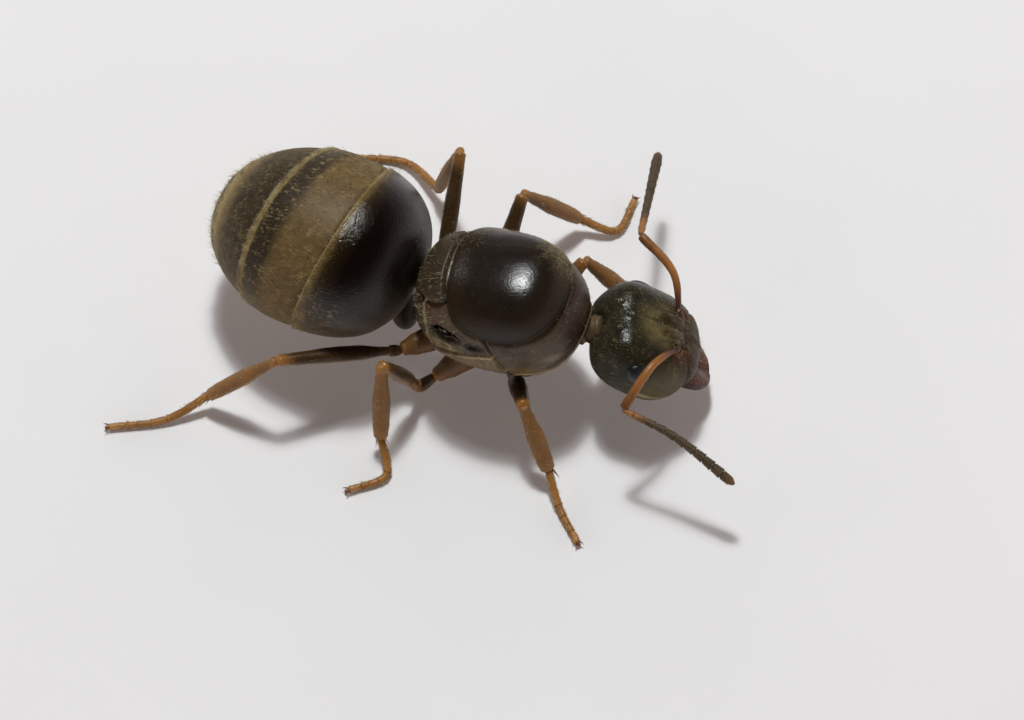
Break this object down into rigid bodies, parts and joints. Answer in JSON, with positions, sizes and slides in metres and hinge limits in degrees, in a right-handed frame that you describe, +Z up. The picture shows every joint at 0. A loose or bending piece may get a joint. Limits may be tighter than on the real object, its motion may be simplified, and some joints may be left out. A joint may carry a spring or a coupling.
{
  "type": "queen ant",
  "caption": "Wingless queen ant standing on six spread legs, with a large rounded banded abdomen, domed thorax, lowered head and elbowed antennae held apart.",
  "frame": {"origin": "on the floor under the middle of the ant's bounding box", "axes": "+X towards the head, +Y to the ant's left, +Z up; the soles are at z = 0"},
  "size_m": [0.0098, 0.0068, 0.003],
  "materials": {
    "back_plates": "glossy dark brown shell",
    "side_plates": "satin olive brown shell with short pale hairs",
    "gaster_plates": "satin olive brown shell, densely pubescent, with pale golden hind margins",
    "head": "satin dark olive brown shell",
    "eyes": "glossy black, finely faceted",
    "ocelli": "clear glossy lens",
    "mandibles": "glossy reddish brown",
    "scapes": "satin orange brown",
    "funiculi": "dull dark brown, velvety",
    "coxae": "satin yellow brown",
    "femora": "glossy dark brown with paler ends",
    "tibiae": "satin yellow brown with fine hairs",
    "tarsi": "satin orange, bristly"
  },
  "bodies": {
    "root": {"mesoscutum": "back_plates", "scutellum": "back_plates", "pronotum": "side_plates", "mesopleura": "side_plates", "propodeum": "side_plates", "gaster_tergite_1": "gaster_plates", "gaster_tergite_2": "gaster_plates", "gaster_tergite_3": "gaster_plates", "gaster_tergite_4": "gaster_plates", "gaster_tergite_5": "gaster_plates", "petiole": "back_plates", "eye_right": "eyes", "eye_left": "eyes", "ocellus_front": "ocelli", "ocellus_left": "ocelli", "ocellus_right": "ocelli", "mandible_right": "mandibles", "mandible_left": "mandibles", "head": "head", "neck": "side_plates", "scape_right": "scapes", "funiculus_right": "funiculi", "scape_left": "scapes", "funiculus_left": "funiculi", "right_fore_coxa": "coxae", "right_fore_femur": "femora", "right_fore_tibia": "tibiae", "right_fore_tarsus": "tarsi", "left_fore_coxa": "coxae", "left_fore_femur": "femora", "left_fore_tibia": "tibiae", "left_fore_tarsus": "tarsi", "right_mid_coxa": "coxae", "right_mid_femur": "femora", "right_mid_tibia": "tibiae", "right_mid_tarsus": "tarsi", "left_mid_coxa": "coxae", "left_mid_femur": "femora", "left_mid_tibia": "tibiae", "left_mid_tarsus": "tarsi", "right_hind_coxa": "coxae", "right_hind_femur": "femora", "right_hind_tibia": "tibiae", "right_hind_tarsus": "tarsi", "left_hind_coxa": "coxae", "left_hind_femur": "femora", "left_hind_tibia": "tibiae", "left_hind_tarsus": "tarsi"}
  },
  "joints": []
}
